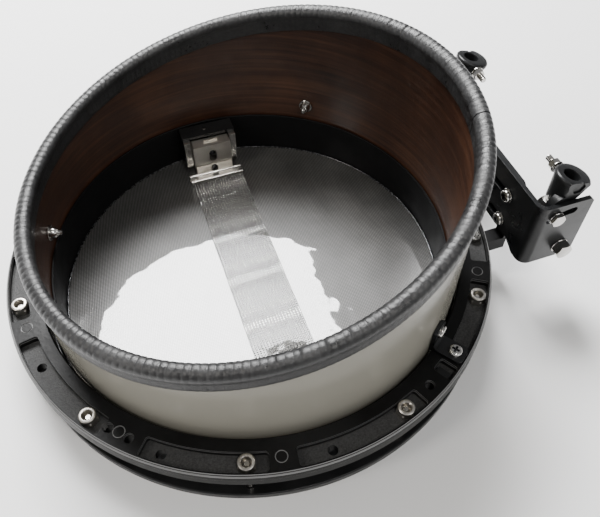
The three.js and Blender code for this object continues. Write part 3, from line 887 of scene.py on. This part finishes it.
def make_braces():
    brace = brace_form()
    foot = RING_TOP + 3.3
    ring_screw = moved(pan_screw(5.4, 3.1, 2.6, 14), LUG_RADIUS - 1, 0, foot)
    height = middle("brace_screw_b").z
    seat = 181.6
    outer_screw = along_x(pan_screw(5.3, 2.9, 2.3, 12), seat, 0, height)
    wall = SHELL_OUT - SHELL_WALL
    inner_end, outer_end, shank = wall - 11, wall + 2, 2.3
    stud = [(0, inner_end), (shank - 0.7, inner_end), (shank, inner_end + 0.8)]
    stud += thread(shank, inner_end + 1, outer_end, 0.9, 0.25) + [(shank, outer_end), (0, outer_end)]
    stud = along_x(lathe(stud, 24), 0, 0, height)
    crown = along_x(lathe([(2.4, wall - 7.5), (3.4, wall - 7.2), (4.6, wall - 5.4), (5.0, wall - 3.2),
                           (5.0, wall - 1.9), (2.4, wall - 1.9)], 36), 0, 0, height)
    washer = along_x(tube(2.4, 6.8, wall - 1.7, wall - 0.35), 0, 0, height)
    screw = merged(outer_screw, stud, crown, washer)
    for letter, angle in zip("abc", BRACE_ANGLES):
        parts = {"brace": (brace, [f"shell_brace_{letter}"], "black_steel"),
                 "ring_screw": (ring_screw, [], "chrome"),
                 "wall_screw": (screw, [f"brace_screw_{letter}"], "chrome")}
        for name, (form, nodes, material) in parts.items():
            piece(f"{name}_{letter}", turned(form.copy(), angle), "drum", nodes, material)
    for form in (brace, ring_screw, screw):
        form.free()


# ---- carrier mount ----
PLATE = {"inner": 216.8, "outer": 220.2, "half": 64, "foot": 38, "top": 102, "bolt_y": 55.5}
ARM = {"centre": 57, "half": 6.5, "foot": 20, "top": 34, "inner": 184, "neck": 27.7, "bolt_x": 190.5}
LEG = {"inner": 212.5, "outer": 216.5, "start": 20, "top": 104.5, "foot": 43.5, "step": 70}
FLANGE = {"outer": 97, "inner": 93, "foot": 36.5, "reach": 262, "bend": 9}
SLOT = {"from": 30.2, "to": 55.8, "radius": 3.5, "heights": (54, 83)}
PIVOT = middle("pivot_bolt_far").xz
TILT_BOLT = middle("tilt_bolt_far").xz
STUD = middle("lock_stud_far").xz
PIVOT_HOLE = 4.35
TILT = {"radius": (TILT_BOLT - PIVOT).length, "from": -29.5, "to": -2, "half": 3.4}
SOCKET = {"top": (243.5, 82, 122), "lean": 15, "outer": 15.3, "offset": 2.2, "bore": 6.8, "length": 24}
NECK = {"place": (236, 98), "radius": 11.5, "foot_radius": 10}


def make_carrier_plate():
    """The plate with its two arms, which take the second material, darker and rougher than the plate's."""
    half, foot, top = PLATE["half"], PLATE["foot"], PLATE["top"]
    plate = facing_x(rounded([(-half, foot), (half, foot), (half, top), (-half, top)], 5), PLATE["inner"],
                     PLATE["outer"])
    for side in (-1, 1):
        middle = side * ARM["centre"]
        y0, y1 = middle - ARM["half"], middle + ARM["half"]
        neck = block((PLATE["inner"], y0, ARM["foot"] + 0.01), (PLATE["outer"] - 0.01, y1, foot + 3))
        arm = block((ARM["inner"], y0, ARM["foot"]), (PLATE["outer"], y1, ARM["top"]))
        clear = RING_OUT + 0.4
        notch = lathe([(150, ARM["neck"]), (clear, ARM["neck"]), (clear, 60), (150, 60)], RING_STEPS)
        plate = joined(plate, neck, cut(arm, notch))
    holes = [along_x(drill(BOLT_HOLE, 210, 230), 0, side * PLATE["bolt_y"], z)
             for side in (-1, 1) for z in SLOT["heights"]]
    holes += [moved(drill(BOLT_HOLE, 15, 30), ARM["bolt_x"], side * ARM["centre"]) for side in (-1, 1)]
    plate = softened(cut(plate, *holes), 0.6, 2, 40)
    for face in plate.faces:
        face.material_index = int(face.calc_center_median().z < ARM["top"] + 0.5)
    piece("mount_plate", plate, "drum", ["carrier_plate"], "black_steel", second="black_liner")


def tilt_slot():
    """The outline of the curved slot around the pivot, as (x, z) points."""
    px, pz = PIVOT
    mid, half = TILT["radius"], TILT["half"]
    outline = []
    for radius, start, end, first in ((mid + half, TILT["to"], TILT["from"], 0),
                                      (mid - half, TILT["from"], TILT["to"], 180)):
        for i in range(13):
            dx, dz = polar(radius, 90 - (start + (end - start) * i / 12))
            outline.append((px + dx, pz + dz))
        ex, ez = polar(mid, 90 - end)
        for i in range(1, 8):
            dx, dz = polar(half, 90 - end + first + 180 * i / 8)
            outline.append((px + ex + dx, pz + ez + dz))
    return outline


def bracket_form():
    """The slotted L bracket of the +Y side."""
    bend, inside = FLANGE["bend"], FLANGE["bend"] - 4
    cx, cy = LEG["inner"] + bend, FLANGE["outer"] - bend
    outline = [(LEG["inner"], LEG["start"]), (LEG["outer"], LEG["start"])]
    outline += [(cx + dx, cy + dy) for dx, dy in (polar(inside, 180 - 90 * i / 10) for i in range(11))]
    outline += [(FLANGE["reach"], FLANGE["inner"]), (FLANGE["reach"], FLANGE["outer"])]
    outline += [(cx + dx, cy + dy) for dx, dy in (polar(bend, 90 + 90 * i / 10) for i in range(11))]
    form = prism(outline, FLANGE["foot"], LEG["top"])
    step = facing_x([(0, 20), (LEG["step"] + 12, 20), (LEG["step"] + 12, FLANGE["foot"]),
                     (LEG["step"], LEG["foot"]), (0, LEG["foot"])], 200, LEG["outer"] + 1)
    slots = [facing_x(capsule((SLOT["from"], z), (SLOT["to"], z), SLOT["radius"]), 205, 225)
             for z in SLOT["heights"]]
    px, pz = PIVOT
    before, behind = 80, 110  # the cutters pass right through the flange along Y
    hole = facing_y(capsule((px - 0.01, pz), (px + 0.01, pz), PIVOT_HOLE, 12), before, behind)
    tip, edge = FLANGE["reach"] + 2, FLANGE["reach"] - 4
    corners = [facing_y([(tip, z0), (tip, z1), (edge, z0)], before, behind)
               for z0, z1 in ((FLANGE["foot"] - 1, FLANGE["foot"] + 6), (LEG["top"] + 1, LEG["top"] - 5))]
    form = cut(form, step, *slots, hole, facing_y(tilt_slot(), before, behind), *corners)
    return softened(form, 0.55, 3, 40)


def socket_form():
    """The tilted rod socket of the +Y side with its pivot arm."""
    lean = Matrix.Translation(SOCKET["top"]) @ Matrix.Rotation(rad(SOCKET["lean"]), 4, "Y")
    length, outer, bore = SOCKET["length"], SOCKET["outer"], SOCKET["bore"]
    cup = lathe([(0, -length - 4), (outer - 6.4, -length - 4), (outer - 5.2, -length - 2), (outer - 1.4, -7),
                 (outer - 0.3, -4), (outer - 0.2, -2), (outer - 1.1, -0.6), (outer - 2.6, 0), (0, 0)], 96)
    hollow = lathe([(0, -length - 14), (bore, -length - 14), (bore, -1.2), (bore + 1, 1), (0, 1)], 64)
    px, pz = PIVOT
    nx, nz = NECK["place"]
    heading = math.degrees(math.atan2(nz - pz, nx - px))
    spread = math.degrees(math.acos((NECK["foot_radius"] - NECK["radius"]) / math.hypot(nx - px, nz - pz)))
    outline = []
    for i in range(15):
        dx, dz = polar(NECK["radius"], heading - spread + 2 * spread * i / 14)
        outline.append((nx + dx, nz + dz))
    for i in range(15):
        dx, dz = polar(NECK["foot_radius"], heading + spread + (360 - 2 * spread) * i / 14)
        outline.append((px + dx, pz + dz))
    arm_inner, arm_face = 85.7, 92.7
    form = joined(facing_y(outline, arm_inner, arm_face), placed(moved(cup, SOCKET["offset"]), lean))
    form = cut(form, placed(hollow, lean), block((190, arm_face, 20), (300, 120, 170)))
    stud_hole = along_y(drill(3.3, 60, 78), STUD.x, 0, STUD.y)
    nut_pocket = along_y(hexagon(10.5, arm_face - 1.3, arm_face + 4), STUD.x + 3, 0, STUD.y)
    holes = [along_y(drill(PIVOT_HOLE, 80, 95), px, 0, pz),
             along_y(drill(3.35, 80, 95), TILT_BOLT.x, 0, TILT_BOLT.y)]
    return softened(cut(form, stud_hole, nut_pocket, *holes), 0.5, 2, 42)


def flange_bolt_form(place, flats, proud, shank, nut_to):
    """A hexagon bolt through the flange, its head outside and its nut inside, on the +Y side."""
    seat = FLANGE["outer"] + 0.3
    nut_from, tip = 85.4, nut_to - 1.2
    washer = tube(shank + 0.3, flats * 0.56, seat, seat + 1.1)
    head = hexagon(flats, seat + 1.1, seat + proud)
    stem = [(0, tip), (shank - 0.5, tip), (shank, tip + 0.6)] + thread(shank, nut_to - 0.5, nut_from + 1)
    stem = lathe(stem + [(shank, nut_from + 1), (shank, seat + 2), (0, seat + 2)], 28)
    nut = hexagon(flats * 0.9, nut_to, nut_from, shank - 0.2, True)
    return along_y(merged(washer, head, stem, nut), place.x, 0, place.y)


def width_bolt_form(z):
    """A button-head bolt through the leg's slot, its nut behind the plate, on the +Y side."""
    head_seat = LEG["inner"] - 0.3
    head = placed(pan_screw(5.6, 3.5, 3, 9.5), Matrix.Rotation(rad(-90), 4, "Y"))
    washer = along_x(tube(3.2, 6.4, head_seat - 0.8, head_seat, 36, 0.2))
    nut = along_x(hexagon(9.8, PLATE["outer"] + 0.3, PLATE["outer"] + 4.3, 2.6))
    return moved(merged(moved(head, head_seat - 0.8), washer, nut), 0, PLATE["bolt_y"], z)


def stud_form():
    """A lock stud with its washer and nut, on the +Y side."""
    tip, end = corner("lock_stud_far", 0).y, 74.5
    shaft = lathe([(0, tip), (2.2, tip), (2.8, tip + 0.7)] + thread(2.8, tip + 1, end, 1.0, 0.4)
                  + [(2.8, end), (0, end)], 28)
    nut_from, nut_to = 60.4, 65.2
    washer = tube(2.9, 5.6, nut_to + 0.1, nut_to + 1.1, 36)
    nut = hexagon(9, nut_from, nut_to, 2.5, True)
    return along_y(merged(shaft, washer, nut), STUD.x, 0, STUD.y)


def arm_bolt_form():
    """A bolt up through an arm and the ring, its nut in the ring's pocket, on the +Y side."""
    seat, flats, shank = POCKET["floor"] + 0.3, 9.8, 3
    low, high = ARM["foot"] - 1, 43
    nut = hexagon(flats, seat, seat + 5, 2.8)
    shaft = lathe([(0, low), (shank, low)] + thread(shank, ARM["top"], high - 1)
                  + [(shank, high - 1), (2.4, high), (0, high)], 28)
    head = turned(hexagon(flats, -(ARM["foot"] - 0.3), -15.2), 180, "X")
    return moved(merged(nut, shaft, head), ARM["bolt_x"], ARM["centre"], 0)


def make_carrier():
    forms = {
        "width_bracket": (bracket_form(), "width_bracket_{}", "black_steel"),
        "pivot_bolt": (flange_bolt_form(PIVOT, 13.6, 9, 4, 79), "width_bracket_{}", "chrome"),
        "receiver": (socket_form(), "receiver_{}", "black_cast"),
        "tilt_bolt": (flange_bolt_form(TILT_BOLT, 11, 4.6, 3, 76), "receiver_{}", "chrome"),
        "lock_stud": (stud_form(), "receiver_{}", "chrome"),
        "width_bolt_lower": (width_bolt_form(SLOT["heights"][0]), "drum", "chrome"),
        "width_bolt_upper": (width_bolt_form(SLOT["heights"][1]), "drum", "chrome"),
        "arm_bolt": (arm_bolt_form(), "drum", "chrome"),
    }
    for node, (form, body, material) in forms.items():
        for side in ("near", "far"):
            shape = mirrored(form.copy()) if side == "near" else form.copy()
            piece(f"{node}_{side}_piece", shape, body.format(side), [f"{node}_{side}"], material)
        form.free()


# ---- snare units ----


def snare_bracket_forms():
    """The strainer's wall bracket: a dark top plate over two bright rails."""
    top = corner("strainer_bracket", 1).z
    half, front, behind = 26.8, 148.6, 165.2
    outline = rounded([(-half, front), (half, front), (half, behind), (-half, behind)], [1.2, 1.2, 1, 1], 3)
    cover = prism(outline, top - 3, top)
    screw_x, screw_y = -2, 158
    screw_hole = moved(drill(1.9, top - 1.2, top + 1), screw_x, screw_y)
    cover = softened(cut(cover, screw_hole), 0.4, 2, 40)
    inner, outer, wall, foot, head = 19.6, 26.5, 3, 7, top - 2.6
    back = block((-outer, 162, foot + 0.2), (outer, 165.3, top - 3.1))
    rails = []
    for side in (-1, 1):
        x0, x1 = sorted((side * inner, side * outer))
        outline = rounded([(x0, foot), (x1, foot), (x1, head), (x0, head)], [2.6, 2.6, 0.4, 0.4], 5)
        rails.append(facing_y(outline, 143, 149))
        w0, w1 = sorted((side * (outer - wall), side * outer))
        rails.append(block((w0, 148.9, foot + 0.4), (w1, 162.2, top - 3.2)))
    frame_form = softened(merged(back, *rails), 0.45, 2, 40)
    small_screw = moved(pan_screw(1.7, 0.6, 1, 2), screw_x, screw_y, top - 1.1)
    return cover, frame_form, small_screw


def slide_block_form():
    """The block that slides on the rails, with its slot and the recess in its top."""
    half, front, back, foot, top = 19.2, 136, 147.6, 16.4, corner("strainer_slide_block", 1).z
    outline = rounded([(-half, foot), (half, foot), (half, top), (-half, top)], [0.4, 0.4, 1.2, 1.2], 4)
    form = facing_y(outline, front, back)
    slot = facing_y(capsule((0, 22.8), (0, 29.6), 3.7), front - 1, back + 1)
    recess = rounded([(-7, 139.4), (7.5, 139.4), (7.5, 144.6), (-7, 144.6)], 0.5, 2)
    recess = prism(recess, top - 2.6, top + 1)
    return softened(cut(form, slot, recess), 0.45, 2, 40)


def clamp_form():
    """The clamp under the block, the bars that hold the wires, and its screw."""
    half = 18.9
    body = block((-half, 135.6, 3.6), (half, 147, 15.6))
    plate = prism(capsule((-26.9, 129.6), (26.9, 129.6), 1.6), 3.7, 5.4)
    back_bar = along_x(bar(1.55, -28.3, 28.3, 1.2, 24), 0, 134.6, 5.0)
    front_bar = along_x(bar(1.7, -28.5, 28.5, 1.4, 24), 0, 126.9, 4.9)
    web = block((-half, 126.4, 3.7), (half, 134.4, 4.9))
    hole = facing_y(capsule((0, 8.2), (0, 11.2), 3.3), 130, 144)
    screw = moved(placed(pan_screw(2.9, 2, 1.6, 5), Matrix.Rotation(rad(90), 4, "X")), 0, 138.2, 9.4)
    return softened(cut(body, hole), 0.35, 2, 40), merged(plate, back_bar, front_bar, web), screw


def lock_screw_form():
    screw = placed(pan_screw(3.3, 2.2, 2.2, 20), Matrix.Rotation(rad(90), 4, "X"))
    return moved(screw, 0, 141, middle("strainer_lock_screw").z)


WIRES = {"count": 20, "pitch": 2.65, "radius": 0.8, "gauge": 0.36, "turn": 2.4, "reach": 126, "height": 2.2}


def coil_wires():
    """Every snare strand as a coil of round wire, and the strips that hold their ends."""
    data = bpy.data.curves.new("strands", "CURVE")
    data.dimensions = "3D"
    data.bevel_depth = WIRES["gauge"]
    data.bevel_resolution = 0
    points_per_turn = 8
    turns = round(2 * WIRES["reach"] / WIRES["turn"])
    count = turns * points_per_turn
    for strand in range(WIRES["count"]):
        x = (strand - (WIRES["count"] - 1) / 2) * WIRES["pitch"]
        line = data.splines.new("POLY")
        line.points.add(count)
        for i in range(count + 1):
            dx, dz = polar(WIRES["radius"], 360 * i / points_per_turn)
            y = -WIRES["reach"] + 2 * WIRES["reach"] * i / count
            line.points[i].co = (x + dx, y, WIRES["height"] + dz, 1)
    obj = added("strands", data)
    bm = shape_of(obj)
    bpy.data.objects.remove(obj)
    bpy.data.curves.remove(data)
    half, start, end = 27.3, WIRES["reach"] - 0.2, 133.8
    strips = [prism(rounded([(-half, y0), (half, y0), (half, y1), (-half, y1)], 1), 1.35, 3.15)
              for y0, y1 in ((start, end), (-end, -start))]
    return bm, softened(merged(*strips), 0.3)


def make_snares():
    cover, rails, small_screw = snare_bracket_forms()
    block_form = slide_block_form()
    clamp_body, clamp_plate, clamp_screw = clamp_form()
    lock = lock_screw_form()
    for unit, turn in (("strainer", 0), ("butt", 180)):
        slide = f"{unit}_slide"
        jobs = [
            ("rails", rails, "drum", [f"{unit}_bracket"], "chrome"),
            ("cover", cover, "drum", [], "black_steel"),
            ("cover_screw", small_screw, "drum", [], "chrome"),
            ("block", block_form, slide, [f"{unit}_slide_block"], "nickel"),
            ("clamp_body", clamp_body, slide, [f"{unit}_clamp"], "nickel"),
            ("clamp_bars", clamp_plate, slide, [], "chrome"),
            ("clamp_screw", clamp_screw, slide, [], "dark_screw"),
            ("lock_screw", lock, "drum", [f"{unit}_lock_screw"], "dark_screw"),
        ]
        for part, form, body, nodes, material in jobs:
            piece(f"{unit}_{part}_piece", turned(form.copy(), turn), body, nodes, material)
    strands, strips = coil_wires()
    piece("snare_strands", strands, "strainer_slide", ["snare_wires"], "wire_steel", smooth=60)
    piece("snare_strips", strips, "strainer_slide", [], "wire_steel")


# ---- studio ----


def add_floor():
    mesh = bpy.data.meshes.new("floor")
    half = 6  # metres
    corners = [(-half, -half, 0), (half, -half, 0), (half, half, 0), (-half, half, 0)]
    mesh.from_pydata(corners, [], [(0, 1, 2, 3)])
    floor = added("floor", mesh)
    floor.location.z = HOOP_FOOT * MM
    n = Nodes("floor")
    n.base(n.ramp(n.noise(1.5, 3), [(0.3, (0.92, 0.92, 0.92)), (0.7, (0.94, 0.94, 0.94))]))
    n.set(Roughness=0.7)
    mesh.materials.append(n.material)


def add_area(name, place, target, size, power, color=(1, 1, 1)):
    """A lamp that faces its target. Places and sizes are metres here."""
    data = bpy.data.lights.new(name, "AREA")
    data.shape = "RECTANGLE"
    data.size, data.size_y = size
    data.energy = power
    data.color = color
    light = added(name, data)
    light.location = place
    light.rotation_euler = (Vector(target) - Vector(place)).to_track_quat("-Z", "Y").to_euler()


def add_lights():
    world = bpy.data.worlds.new("studio")
    world.use_nodes = True
    inputs = world.node_tree.nodes["Background"].inputs
    inputs["Color"].default_value = (0.97, 0.98, 1.0, 1)
    inputs["Strength"].default_value = 0.3
    bpy.context.scene.world = world
    add_area("window", (-0.03, 1.46, 1.8), (-0.03, 1.46, 0), (1.2, 1.12), 205)
    add_area("left", (-1.5, -0.3, 1.4), (0.1, 0, 0.1), (0.4, 0.7), 11, (1.0, 0.95, 0.88))
    add_area("front", (0.9, -1.7, 1.1), (0, 0, 0.05), (1.2, 0.4), 3.5)
    add_area("over", (0.15, -1.0, 1.9), (0, 0.1, 0.05), (0.35, 0.25), 12, (1.0, 0.97, 0.92))


add_camera()
make_shell()
make_guard()
make_head()
make_counter_hoop()
make_lug_ring()
make_lugs()
make_braces()
make_carrier_plate()
make_carrier()
make_snares()
add_floor()
add_lights()
